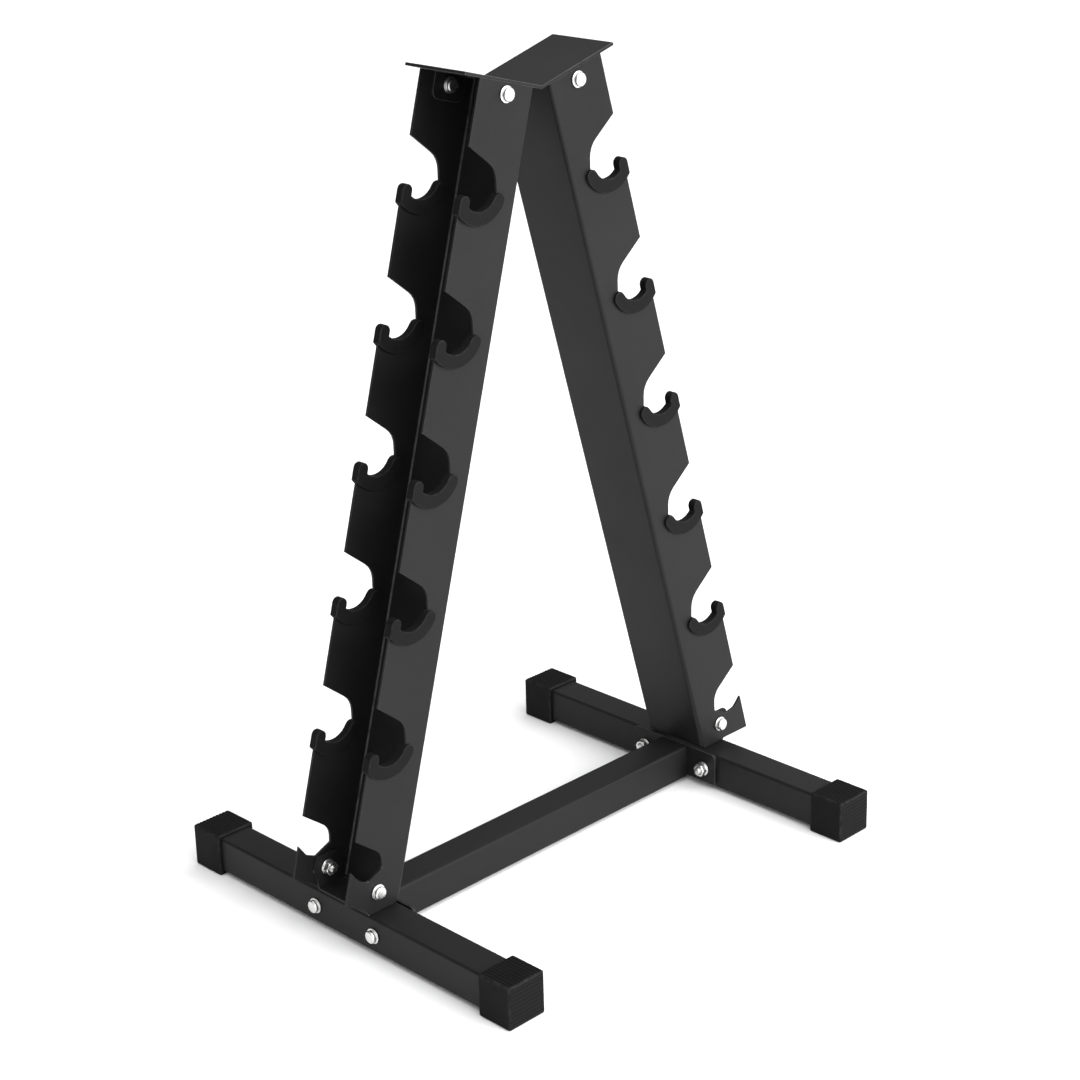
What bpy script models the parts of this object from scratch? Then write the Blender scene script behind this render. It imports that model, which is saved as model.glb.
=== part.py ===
"""Two-post A-frame dumbbell rack: notched leaning posts on a bolted H base.

Metres, +Z up. X runs along the cross tube and Y along the feet, with the
front at -Y. The origin is on the floor, under the middle of the rack.
"""

import math

import bmesh
import bpy
from mathutils import Matrix, Vector

# Assembly clearances
SEAT = 0.0003            # gap between two faces that touch on the real rack
HOLE_CLEARANCE = 0.0004  # bolt hole radius beyond the shank radius

# Base: feet, cross tube and end plates
TUBE = 0.038             # outside size of the square tube
TUBE_WALL = 0.0018
TUBE_CORNER = 0.003
FOOT_OFFSET = 0.242      # centre of each foot tube from the middle of the rack
FOOT_LENGTH = 0.470      # over the end caps
CAP_WALL = 0.004
CAP_LENGTH = 0.042
CAP_CORNER = 0.004
RIB_COUNT = 10
RIB_DEPTH = 0.0008
END_PLATE = 0.003        # thickness
END_PLATE_WIDTH = 0.120
END_PLATE_RISE = 0.001   # above the top of the tubes
END_PLATE_INSET = 0.003  # above the underside of the tubes
END_PLATE_CORNER = 0.006
FOOT_BOLT_OFFSET = 0.043

# Posts
SHEET = 0.0025
POST_WIDTH = 0.080       # over the two flanges
FLANGE = 0.071           # web face to flange edge
BEND = 0.004             # outside radius of the sheet bends
LEAN = math.radians(15.7)
POST_CLEARANCE = 0.0035  # post bottom above the tube tops
TOP_MARGIN = 0.061       # post top above the first notch tip
BOTTOM_MARGIN = 0.0858   # post bottom below the last notch tip

# Notches, measured from the tip above each one
PITCH = 0.132
PADDED_NOTCHES = 5
CRADLE_RADIUS = 0.021    # on the pad surface
CRADLE_DOWN = 0.0365
CRADLE_IN = 0.020
NOTCH_SLOPE = math.radians(66.4)
NOTCH_CORNER = 0.022
LAST_SEAT_IN = 0.0245
HOOK_SAG = 0.004         # hollow of the lowest hooks below a straight line
RIGHT_SEAT_DOWN = 0.049  # lowest, unpadded notch
RIGHT_TIP_DOWN = 0.043
LEFT_SEAT_DOWN = 0.043
LEFT_TIP_DOWN = 0.031
LEFT_CUT_DOWN = 0.064    # start of the cut-off corner under the left hooks
LEFT_CUT_IN = 0.036      # its depth at the post bottom

# Cradle pads
PAD_FLOOR = 0.003
PAD_LIP = 0.003          # thickness of each lip beside the flange
PAD_DEPTH = 0.0135       # cradle surface to the outside of the lip
PAD_WRAP = 0.0022        # beyond the flange edge
PAD_TIP = 0.006          # radius of the rounded outer end
PAD_START = math.radians(-74)

# Top bracket
TOP_PLATE = 0.003
TOP_OVERHANG = 0.019
EAR_WIDTH = 0.040
EAR_DROP = 0.015         # ear below its bolt
TOP_BOLT_DOWN = 0.010    # bolt below the post top

# Base brackets
BASE_EAR_WIDTH = 0.034
BASE_EAR_RISE = 0.014    # ear above its bolt
LOW_BOLT_DOWN = 0.054    # below the last notch tip
LOW_BOLT_IN = 0.039

# Fasteners
SHANK = 0.004            # radius
WASHER = 0.008           # radius
WASHER_THICKNESS = 0.0014
HEAD = 0.0066            # radius
HEAD_HEIGHT = 0.0045
NUT_FLATS = 0.013
NUT_HEIGHT = 0.0065
THREAD_END = 0.0025      # shank beyond the nut
BOLT_SIDES = 16
NUT_SIDES = 12

# Derived levels and lines
TUBE_BOTTOM = CAP_WALL
TUBE_TOP = TUBE_BOTTOM + TUBE
TUBE_MIDDLE = TUBE_BOTTOM + TUBE / 2
FOOT_INNER = FOOT_OFFSET - TUBE / 2
FOOT_OUTER = FOOT_OFFSET + TUBE / 2
PLATE_TOP = TUBE_TOP + END_PLATE_RISE
POST_BOTTOM = TUBE_TOP + POST_CLEARANCE
POST_END = PADDED_NOTCHES * PITCH + BOTTOM_MARGIN
NOTCH_RADIUS = CRADLE_RADIUS + PAD_FLOOR + SEAT
EAR_OUTER = POST_WIDTH / 2 - SHEET - SEAT
EAR_INNER = EAR_OUTER - SHEET

DOWN = Vector((math.sin(LEAN), 0, -math.cos(LEAN)))
OUT = Vector((math.cos(LEAN), 0, math.sin(LEAN)))
TIP_Z = POST_BOTTOM + POST_END * math.cos(LEAN)
WEB_DOWN = (TIP_Z - FLANGE * math.sin(LEAN) - PLATE_TOP) / math.cos(LEAN)
TIP_X = FOOT_INNER + SEAT - WEB_DOWN * math.sin(LEAN) + FLANGE * math.cos(LEAN)
FIRST_TIP = Vector((TIP_X, 0, TIP_Z))

TOP_BOLT = (TOP_BOLT_DOWN - TOP_MARGIN, -FLANGE / 2)
LOW_BOLT = (PADDED_NOTCHES * PITCH + LOW_BOLT_DOWN, -LOW_BOLT_IN)


def clear_scene():
    """Remove every object the file starts with."""
    for item in list(bpy.data.objects):
        bpy.data.objects.remove(item, do_unlink=True)


def material(name, color, roughness, metallic=0.0):
    """Make one Principled material."""
    made = bpy.data.materials.new(name)
    made.use_nodes = True
    shader = made.node_tree.nodes["Principled BSDF"]
    shader.inputs["Base Color"].default_value = (*color, 1)
    shader.inputs["Roughness"].default_value = roughness
    shader.inputs["Metallic"].default_value = metallic
    return made


def add_object(name, mesh, finish=None):
    """Put a mesh into the scene as one named object."""
    item = bpy.data.objects.new(name, mesh)
    bpy.context.scene.collection.objects.link(item)
    if finish is not None:
        mesh.materials.clear()
        mesh.materials.append(finish)
    return item


def mesh_from(points, faces, name="mesh"):
    """Make a mesh with outward normals from points and faces."""
    mesh = bpy.data.meshes.new(name)
    mesh.from_pydata([tuple(p) for p in points], [], faces)
    work = bmesh.new()
    work.from_mesh(mesh)
    bmesh.ops.recalc_face_normals(work, faces=work.faces)
    work.to_mesh(mesh)
    work.free()
    return mesh


def prism(outline, offset, name="prism"):
    """Extrude a closed outline of 3-D points by one offset vector."""
    count = len(outline)
    points = list(outline) + [p + offset for p in outline]
    faces = [tuple(range(count)), tuple(range(2 * count - 1, count - 1, -1))]
    for i in range(count):
        j = (i + 1) % count
        faces.append((i, j, count + j, count + i))
    return mesh_from(points, faces, name)


def arc(centre, radius, start, end, steps):
    """Points on an arc, both ends included."""
    points = []
    for i in range(steps + 1):
        angle = start + (end - start) * i / steps
        x = centre[0] + radius * math.cos(angle)
        y = centre[1] + radius * math.sin(angle)
        points.append((x, y))
    return points


def fillet(before, corner, after, radius, steps=3):
    """Points that round the corner between two straight edges."""
    middle = Vector(corner)
    one = (Vector(before) - middle).normalized()
    two = (Vector(after) - middle).normalized()
    half = one.angle(two) / 2
    centre = middle + (one + two).normalized() * (radius / math.sin(half))
    first = middle + one * (radius / math.tan(half)) - centre
    last = middle + two * (radius / math.tan(half)) - centre
    start = math.atan2(first.y, first.x)
    sweep = math.atan2(last.y, last.x) - start
    sweep = (sweep + math.pi) % (2 * math.pi) - math.pi
    return arc(centre, radius, start, start + sweep, steps)


def rounded(corners, steps=3):
    """Outline through (x, y, radius) corners, rounded where radius is not 0."""
    points = []
    for i, (x, y, radius) in enumerate(corners):
        before = corners[i - 1][:2]
        after = corners[(i + 1) % len(corners)][:2]
        if radius:
            points += fillet(before, (x, y), after, radius, steps)
        else:
            points.append((x, y))
    return points


def rectangle(low_x, high_x, low_y, high_y, radius):
    """Corners of a rectangle with one corner radius."""
    return [(low_x, low_y, radius), (high_x, low_y, radius),
            (high_x, high_y, radius), (low_x, high_y, radius)]


def combine(item, cutter_mesh, operation):
    """Apply one exact boolean to an object and drop the cutter."""
    cutter = add_object("cutter", cutter_mesh)
    cutter.hide_render = True
    cutter.display_type = "WIRE"
    modifier = item.modifiers.new("cut", "BOOLEAN")
    modifier.operation = operation
    modifier.solver = "EXACT"
    modifier.object = cutter
    bpy.context.view_layer.update()
    graph = bpy.context.evaluated_depsgraph_get()
    result = bpy.data.meshes.new_from_object(item.evaluated_get(graph))
    item.modifiers.clear()
    item.data = result
    bpy.data.objects.remove(cutter, do_unlink=True)


def rod(start, offset, radius, sides=BOLT_SIDES):
    """Cylinder mesh from a start point along an offset vector."""
    side = Vector((0, 0, 1)) if abs(offset.z) < 0.5 * offset.length else Vector((1, 0, 0))
    other = offset.normalized().cross(side)
    ring = []
    for i in range(sides):
        angle = 2 * math.pi * i / sides
        ring.append(start + side * (radius * math.cos(angle)) + other * (radius * math.sin(angle)))
    return prism(ring, offset, "rod")


def smooth(item, angle=35):
    """Shade smooth, with sharp edges kept above an angle."""
    item.data.shade_smooth()
    item.data.set_sharp_from_angle(angle=math.radians(angle))


def place(mesh, matrix, name):
    """Copy a mesh with a transform baked into its points."""
    copy = mesh.copy()
    copy.name = name
    copy.transform(matrix)
    return copy


def on_post(down, out, y=0.0):
    """Right-post position: down its slope from the first tip, out from its edge."""
    return FIRST_TIP + DOWN * down + OUT * out + Vector((0, y, 0))


def half_turn():
    """Rotation that takes the right post onto the left post."""
    return Matrix.Rotation(math.pi, 4, "Z")


def plumb_in(down):
    """Edge line that hangs plumb into the cradle: its depth at a point down."""
    start = CRADLE_IN + NOTCH_RADIUS
    return start + (down - CRADLE_DOWN) * math.tan(LEAN)


def notch_corner():
    """Where the upper slope of a notch meets its plumb edge."""
    rise = math.tan(LEAN)
    slope = math.tan(NOTCH_SLOPE)
    down = (CRADLE_IN + NOTCH_RADIUS - CRADLE_DOWN * rise) / (slope - rise)
    return down, slope * down


def padded_notch(base):
    """Flange edge points of one padded notch, tip first."""
    corner_down, corner_in = notch_corner()
    tip = (base, 0.0)
    corner = (base + corner_down, -corner_in)
    centre = (base + CRADLE_DOWN, -CRADLE_IN)
    points = [tip]
    points += fillet(tip, corner, (centre[0], -plumb_in(CRADLE_DOWN)), NOTCH_CORNER, 4)
    top = math.asin(CRADLE_IN / NOTCH_RADIUS)
    points += arc(centre, NOTCH_RADIUS, -math.pi / 2, top, 12)
    return points


def last_notch(base, seat_down, tip_down):
    """Flange edge points of the lowest, unpadded notch, tip first."""
    corner_down, corner_in = notch_corner()
    tip = (base, 0.0)
    corner = (base + corner_down - 0.002, -corner_in + 0.002)
    step = (base + seat_down * 0.7, -plumb_in(seat_down * 0.7) + 0.002)
    seat = (base + seat_down, -LAST_SEAT_IN)
    sag = (base + (seat_down + tip_down) / 2 + HOOK_SAG, -LAST_SEAT_IN / 2)
    hook = (base + tip_down, 0.0)
    points = [tip]
    points += fillet(tip, corner, step, NOTCH_CORNER * 0.8, 4)
    points += fillet(corner, step, seat, 0.002, 2)
    points += fillet(step, seat, sag, 0.003, 3)
    points += fillet(seat, sag, hook, 0.009, 3)
    points.append(hook)
    return points


def post_outline(left):
    """Side outline of one post as (down, out) points."""
    beyond = FLANGE + 0.006
    last = PADDED_NOTCHES * PITCH
    points = [(-TOP_MARGIN, -beyond), (-TOP_MARGIN, 0.0)]
    for i in range(PADDED_NOTCHES):
        points += padded_notch(i * PITCH)
    if left:
        points += last_notch(last, LEFT_SEAT_DOWN, LEFT_TIP_DOWN)
        points.append((last + LEFT_CUT_DOWN, 0.0))
        points.append((POST_END - LEFT_CUT_IN * math.tan(LEAN), -LEFT_CUT_IN))
    else:
        points += last_notch(last, RIGHT_SEAT_DOWN, RIGHT_TIP_DOWN)
        points.append((POST_END, 0.0))
    points.append((POST_END - beyond * math.tan(LEAN), -beyond))
    return points


def channel_section():
    """Cross-section of the bent sheet as (out, across) points."""
    half = POST_WIDTH / 2
    inner = half - SHEET
    web = SHEET - FLANGE
    return rounded([
        (0.004, -half, 0), (-FLANGE, -half, BEND),
        (-FLANGE, half, BEND), (0.004, half, 0),
        (0.004, inner, 0), (web, inner, BEND - SHEET),
        (web, -inner, BEND - SHEET), (0.004, -inner, 0)])


def post_mesh(bolt_holes, left):
    """One post on the right side: the channel cut to its notched outline."""
    start = -TOP_MARGIN - 0.02
    length = POST_END + 0.02 - start
    ring = [on_post(start, out, across) for out, across in channel_section()]
    item = add_object("post_work", prism(ring, DOWN * length))
    reach = POST_WIDTH / 2 + 0.01
    side = [on_post(down, out, -reach) for down, out in post_outline(left)]
    combine(item, prism(side, Vector((0, 2 * reach, 0))), "INTERSECT")
    for down, out in bolt_holes:
        hole = rod(on_post(down, out, -reach), Vector((0, 2 * reach, 0)), SHANK + HOLE_CLEARANCE)
        combine(item, hole, "DIFFERENCE")
    mesh = item.data.copy()
    bpy.data.objects.remove(item, do_unlink=True)
    return mesh


def pad_outline():
    """Side outline of a cradle pad, measured from the tip above its notch."""
    centre = (CRADLE_DOWN, -CRADLE_IN)
    outside = CRADLE_RADIUS + PAD_DEPTH
    middle = CRADLE_RADIUS + PAD_DEPTH / 2
    tip_down = CRADLE_DOWN + math.sqrt(NOTCH_RADIUS ** 2 - CRADLE_IN ** 2)
    mouth = math.asin((CRADLE_IN + PAD_WRAP - 2 * PAD_TIP) / CRADLE_RADIUS)
    edge = math.asin((CRADLE_IN + PAD_WRAP) / outside)
    points = arc(centre, CRADLE_RADIUS, PAD_START, mouth, 9)
    points += arc((tip_down, PAD_WRAP - PAD_TIP), PAD_TIP, -math.pi / 2, -1.5 * math.pi, 8)
    points += arc(centre, outside, edge, PAD_START, 9)
    end = (centre[0] + middle * math.cos(PAD_START), centre[1] + middle * math.sin(PAD_START))
    points += arc(end, PAD_DEPTH / 2, PAD_START, PAD_START - math.pi, 6)[1:-1]
    return points


def pad_slot():
    """Flange edge enlarged by the seating gap: the slot inside a pad."""
    centre = (CRADLE_DOWN, -CRADLE_IN)
    radius = NOTCH_RADIUS - SEAT
    top = math.asin((CRADLE_IN + SEAT) / radius)
    above = CRADLE_DOWN - 0.008
    points = [(0.1, -0.09), (0.1, SEAT)]
    points += arc(centre, radius, top, -math.pi / 2, 12)
    points.append((above, SEAT - plumb_in(above)))
    points.append((above, -0.09))
    return points


def pad_mesh():
    """Pad on the first notch of the right post, centred across Y = 0."""
    half = SHEET / 2 + SEAT + PAD_LIP
    slot = SHEET / 2 + SEAT
    ring = [on_post(down, out, -half) for down, out in pad_outline()]
    item = add_object("pad_work", prism(ring, Vector((0, 2 * half, 0))))
    ring = [on_post(down, out, -slot) for down, out in pad_slot()]
    combine(item, prism(ring, Vector((0, 2 * slot, 0))), "DIFFERENCE")
    mesh = item.data.copy()
    bpy.data.objects.remove(item, do_unlink=True)
    return mesh


def add_posts(finish):
    """Two posts that differ under the lowest hook; the left is turned round."""
    for name, turn, left in (("right_post", Matrix.Identity(4), False),
                             ("left_post", half_turn(), True)):
        mesh = post_mesh([TOP_BOLT, LOW_BOLT], left)
        smooth(add_object(name, place(mesh, turn, name), finish))


def add_pads(finish):
    """Five pads on each of the four flanges."""
    mesh = pad_mesh()
    flange = POST_WIDTH / 2 - SHEET / 2
    sides = (("right", Matrix.Identity(4), -1), ("left", half_turn(), 1))
    for side, turn, front in sides:
        for row, sign in (("front", front), ("rear", -front)):
            for i in range(PADDED_NOTCHES):
                shift = Matrix.Translation(DOWN * (i * PITCH) + Vector((0, sign * flange, 0)))
                name = f"{side}_{row}_pad_{i + 1}"
                smooth(add_object(name, place(mesh, turn @ shift, name), finish))


def square_tube(length, along, holes=()):
    """Hollow square tube on the axis at the origin, drilled by hole meshes."""
    half = TUBE / 2
    bore = half - TUBE_WALL
    outer = rounded(rectangle(-half, half, -half, half, TUBE_CORNER))
    inner = rounded(rectangle(-bore, bore, -bore, bore, TUBE_CORNER - TUBE_WALL))
    points = []
    for end in (-length / 2, length / 2):
        for a, b in outer + inner:
            points.append((end, a, b) if along == "X" else (a, end, b))
    count = len(outer)
    faces = []
    for i in range(count):
        j = (i + 1) % count
        faces.append((i, j, 2 * count + j, 2 * count + i))
        faces.append((count + j, count + i, 3 * count + i, 3 * count + j))
        faces.append((j, i, count + i, count + j))
        faces.append((2 * count + i, 2 * count + j, 3 * count + j, 3 * count + i))
    item = add_object("tube_work", mesh_from(points, faces))
    for hole in holes:
        combine(item, hole, "DIFFERENCE")
    mesh = item.data.copy()
    bpy.data.objects.remove(item, do_unlink=True)
    return mesh


def add_feet(finish):
    """Foot tubes, each drilled for the two bolts of its end plate."""
    holes = []
    for y in (-FOOT_BOLT_OFFSET, FOOT_BOLT_OFFSET):
        start = Vector((-TUBE, y, 0))
        holes.append(rod(start, Vector((2 * TUBE, 0, 0)), SHANK + HOLE_CLEARANCE))
    mesh = square_tube(FOOT_LENGTH - 2 * CAP_WALL - 2 * SEAT, "Y", holes)
    for name, side in (("left_foot_tube", -1), ("right_foot_tube", 1)):
        shift = Matrix.Translation((side * FOOT_OFFSET, 0, TUBE_MIDDLE))
        smooth(add_object(name, place(mesh, shift, name), finish))


def add_cross_tube(finish):
    """Cross tube that fits between the two end plates."""
    length = 2 * (FOOT_INNER - END_PLATE - 2 * SEAT)
    mesh = square_tube(length, "X")
    shift = Matrix.Translation((0, 0, TUBE_MIDDLE))
    smooth(add_object("cross_tube", place(mesh, shift, "cross_tube"), finish))


def add_end_plates(finish):
    """Plates on the cross tube ends, drilled for the foot bolts."""
    half = END_PLATE_WIDTH / 2
    low = TUBE_BOTTOM + END_PLATE_INSET
    corners = [(-half, low, 0.003), (half, low, 0.003),
               (half, PLATE_TOP, END_PLATE_CORNER), (-half, PLATE_TOP, END_PLATE_CORNER)]
    outline = rounded(corners, 5)
    start = FOOT_INNER - SEAT - END_PLATE
    ring = [Vector((start, y, z)) for y, z in outline]
    item = add_object("plate_work", prism(ring, Vector((END_PLATE, 0, 0))))
    for y in (-FOOT_BOLT_OFFSET, FOOT_BOLT_OFFSET):
        begin = Vector((start - 0.01, y, TUBE_MIDDLE))
        combine(item, rod(begin, Vector((0.03, 0, 0)), SHANK + HOLE_CLEARANCE), "DIFFERENCE")
    mesh = item.data.copy()
    bpy.data.objects.remove(item, do_unlink=True)
    add_object("right_end_plate", place(mesh, Matrix.Identity(4), "right_end_plate"), finish)
    add_object("left_end_plate", place(mesh, half_turn(), "left_end_plate"), finish)


def cap_section():
    """Outside section of an end cap, ribbed along its top."""
    half = TUBE / 2 + CAP_WALL
    flat = half - CAP_CORNER
    pitch = 2 * flat / RIB_COUNT
    corner = rounded(rectangle(-half, half, -half, half, CAP_CORNER))
    quarter = len(corner) // 4
    edge = []
    for i in range(RIB_COUNT):
        left = -flat + i * pitch
        if i:
            edge += [(left, 0.0)]
        edge += [(left + pitch * 0.35, 0.0), (left + pitch * 0.5, RIB_DEPTH)]
        edge += [(left + pitch * 0.85, RIB_DEPTH)]
    top = [(-x, half - depth) for x, depth in edge]
    return corner[:3 * quarter] + top + corner[3 * quarter:]


def add_caps(finish):
    """Four push-on caps, one on each foot tube end."""
    depth = FOOT_LENGTH / 2
    ring = [Vector((x, -depth, z)) for x, z in cap_section()]
    item = add_object("cap_work", prism(ring, Vector((0, CAP_LENGTH, 0))))
    half = TUBE / 2 + SEAT
    bore = rounded(rectangle(-half, half, -half, half, TUBE_CORNER + SEAT))
    ring = [Vector((x, CAP_WALL - depth, z)) for x, z in bore]
    combine(item, prism(ring, Vector((0, CAP_LENGTH, 0))), "DIFFERENCE")
    for side, x in (("left", -FOOT_OFFSET), ("right", FOOT_OFFSET)):
        shift = Matrix.Translation((x, 0, TUBE_MIDDLE))
        for row, turn in (("front", Matrix.Identity(4)), ("rear", half_turn())):
            name = f"{side}_{row}_cap"
            smooth(add_object(name, place(item.data, shift @ turn, name), finish))
    bpy.data.objects.remove(item, do_unlink=True)


def wing_outline(under):
    """Right wing of the top bracket as (x, z) points, valley at x = 0."""
    outer_low = on_post(under, TOP_OVERHANG)
    outer_high = on_post(under - TOP_PLATE, TOP_OVERHANG)
    slope = math.tan(LEAN)
    valley_low = outer_low.z - outer_low.x * slope
    valley_high = outer_high.z - outer_high.x * slope
    return outer_low, outer_high, valley_low, valley_high


def add_top_bracket(finish):
    """V-bent plate over both posts, with four ears inside their flanges."""
    under = -TOP_MARGIN - SEAT
    low, high, valley_low, valley_high = wing_outline(under)
    half = POST_WIDTH / 2
    outline = [(0, valley_low), (low.x, low.z), (high.x, high.z),
               (0, valley_high), (-high.x, high.z), (-low.x, low.z)]
    ring = [Vector((x, -half, z)) for x, z in outline]
    item = add_object("top_bracket", prism(ring, Vector((0, POST_WIDTH, 0))))
    down, out = TOP_BOLT
    left = out - EAR_WIDTH / 2
    right = out + EAR_WIDTH / 2
    corners = [(under - TOP_PLATE / 2, left, 0), (down + EAR_DROP, left, 0.008),
               (down + EAR_DROP, right, 0.008), (under - TOP_PLATE / 2, right, 0)]
    reach = Vector((0, POST_WIDTH, 0))
    for y in (-EAR_OUTER, EAR_INNER):
        ring = [on_post(a, b, y) for a, b in rounded(corners)]
        ear = add_object("ear_work", prism(ring, Vector((0, SHEET, 0))))
        hole = rod(on_post(down, out) - reach / 2, reach, SHANK + HOLE_CLEARANCE)
        combine(ear, hole, "DIFFERENCE")
        for turn in (Matrix.Identity(4), half_turn()):
            combine(item, place(ear.data, turn, "ear"), "UNION")
        bpy.data.objects.remove(ear, do_unlink=True)
    item.data.materials.clear()
    item.data.materials.append(finish)


def add_base_brackets(finish):
    """U brackets on the foot tubes, with ears bolted inside the flanges."""
    bolt = on_post(*LOW_BOLT)
    floor = TUBE_TOP + SEAT
    wall_x = FOOT_INNER + SHEET + 0.004
    ring = [Vector((x, y, floor)) for x, y in rounded(
        rectangle(wall_x, FOOT_OUTER, -EAR_OUTER, EAR_OUTER, 0.001))]
    item = add_object("base_work", prism(ring, Vector((0, 0, SHEET))))
    left = bolt.x - BASE_EAR_WIDTH / 2
    right = bolt.x + BASE_EAR_WIDTH / 2
    top = bolt.z + BASE_EAR_RISE
    corners = [(wall_x, floor + SHEET / 2, 0), (FOOT_OUTER, floor + SHEET / 2, 0),
               (right, bolt.z, 0.006), (right - 0.003, top, 0.006),
               (left + 0.003, top, 0.006), (left, bolt.z, 0.006)]
    for y in (-EAR_OUTER, EAR_INNER):
        ring = [Vector((x, y, z)) for x, z in rounded(corners)]
        combine(item, prism(ring, Vector((0, SHEET, 0))), "UNION")
    reach = POST_WIDTH / 2
    start = Vector((bolt.x, -reach, bolt.z))
    combine(item, rod(start, Vector((0, 2 * reach, 0)), SHANK + HOLE_CLEARANCE), "DIFFERENCE")
    for name, turn in (("right_base_bracket", Matrix.Identity(4)), ("left_base_bracket", half_turn())):
        add_object(name, place(item.data, turn, name), finish)
    bpy.data.objects.remove(item, do_unlink=True)


def ring_mesh(rings, sides, closed):
    """Stack rings of (radius function, height) along +Z into one skin."""
    points = []
    for radius, height in rings:
        for i in range(sides):
            angle = 2 * math.pi * i / sides
            r = radius(angle)
            points.append((r * math.cos(angle), r * math.sin(angle), height))
    faces = []
    pairs = len(rings) if closed else len(rings) - 1
    for k in range(pairs):
        a = k * sides
        b = ((k + 1) % len(rings)) * sides
        for i in range(sides):
            j = (i + 1) % sides
            faces.append((a + i, a + j, b + j, b + i))
    if not closed:
        faces.append(tuple(range(sides)))
        faces.append(tuple(range((len(rings) - 1) * sides, len(rings) * sides)))
    return mesh_from(points, faces)


def circle(radius):
    """Radius function of a circle."""
    return lambda angle: radius


def hexagon(flats, limit):
    """Radius function of a hexagon whose corners are turned to a limit."""
    def radius(angle):
        off = (angle + math.pi / 6) % (math.pi / 3) - math.pi / 6
        return min(flats / 2 / math.cos(math.pi / 6 - abs(off)), limit)
    return radius


def bolt_mesh(grip):
    """Round-head bolt with its washer: head below z = 0, shank up +Z."""
    length = grip + NUT_HEIGHT + WASHER_THICKNESS + SEAT + THREAD_END
    top = -WASHER_THICKNESS - HEAD_HEIGHT
    rings = [
        (circle(HEAD - 0.0012), top), (circle(HEAD), top + 0.0012),
        (circle(HEAD), -WASHER_THICKNESS), (circle(WASHER), -WASHER_THICKNESS),
        (circle(WASHER), 0), (circle(SHANK), 0),
        (circle(SHANK), length - 0.0008), (circle(SHANK - 0.0008), length)]
    return ring_mesh(rings, BOLT_SIDES, False)


def nut_mesh():
    """Hexagon nut with its washer, standing on z = 0."""
    bore = SHANK + SEAT
    top = WASHER_THICKNESS + NUT_HEIGHT
    full = NUT_FLATS / 2 / math.cos(math.pi / 6)
    rings = [
        (circle(bore), 0), (circle(WASHER), 0), (circle(WASHER), WASHER_THICKNESS),
        (hexagon(NUT_FLATS, full), WASHER_THICKNESS), (hexagon(NUT_FLATS, full), top - 0.0008),
        (hexagon(NUT_FLATS, NUT_FLATS / 2), top), (circle(bore), top)]
    return ring_mesh(rings, NUT_SIDES, True)


def add_fastener(name, start, direction, grip, meshes, finish):
    """Bolt from a seat point along a direction, with its nut at the far side."""
    turn = direction.to_track_quat("Z", "Y").to_matrix().to_4x4()
    bolt, nut = meshes
    seat = start - direction * SEAT
    far = start + direction * (grip + SEAT)
    smooth(add_object(f"{name}_bolt", place(bolt, Matrix.Translation(seat) @ turn, name), finish))
    smooth(add_object(f"{name}_nut", place(nut, Matrix.Translation(far) @ turn, name), finish))


def add_fasteners(finish):
    """Bolts through the post flanges and through the feet."""
    thin = 2 * SHEET + SEAT
    thick = TUBE + SEAT + END_PLATE
    nut = nut_mesh()
    thin_set = (bolt_mesh(thin + 2 * SEAT), nut)
    thick_set = (bolt_mesh(thick + 2 * SEAT), nut)
    half = POST_WIDTH / 2
    for side, sign in (("right", 1), ("left", -1)):
        for row, y in (("front", -1), ("rear", 1)):
            for level, (down, out) in (("top", TOP_BOLT), ("low", LOW_BOLT)):
                spot = on_post(down, out)
                start = Vector((sign * spot.x, y * half, spot.z))
                inward = Vector((0, -y, 0))
                if level == "top" and row == "rear":
                    start += inward * thin
                    inward = -inward
                name = f"{side}_{row}_{level}"
                add_fastener(name, start, inward, thin, thin_set, finish)
            start = Vector((sign * FOOT_OUTER, y * FOOT_BOLT_OFFSET, TUBE_MIDDLE))
            name = f"{side}_{row}_foot"
            add_fastener(name, start, Vector((-sign, 0, 0)), thick, thick_set, finish)


def main():
    """Build the whole rack."""
    clear_scene()
    paint = material("black_paint", (0.035, 0.035, 0.037), 0.42)
    rubber = material("black_rubber", (0.022, 0.022, 0.023), 0.8)
    zinc = material("zinc", (0.62, 0.62, 0.61), 0.3, 1.0)
    add_posts(paint)
    add_top_bracket(paint)
    add_feet(paint)
    add_cross_tube(paint)
    add_end_plates(paint)
    add_base_brackets(paint)
    add_caps(rubber)
    add_pads(rubber)
    add_fasteners(zinc)


main()
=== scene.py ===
# %% [markdown]
# # Dressing a dumbbell rack
# The rack is two leaning sheet-steel posts on an H-shaped base of square
# tube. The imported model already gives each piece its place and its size, in
# metres. This lesson keeps those places and adds what the bare solids lack:
# rounded cut edges, black powder paint, moulded rubber and zinc plating.
# Loading comes first, because every later step measures the loaded pieces.

import math

import bmesh
import bpy
from mathutils import Matrix, Vector


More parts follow.
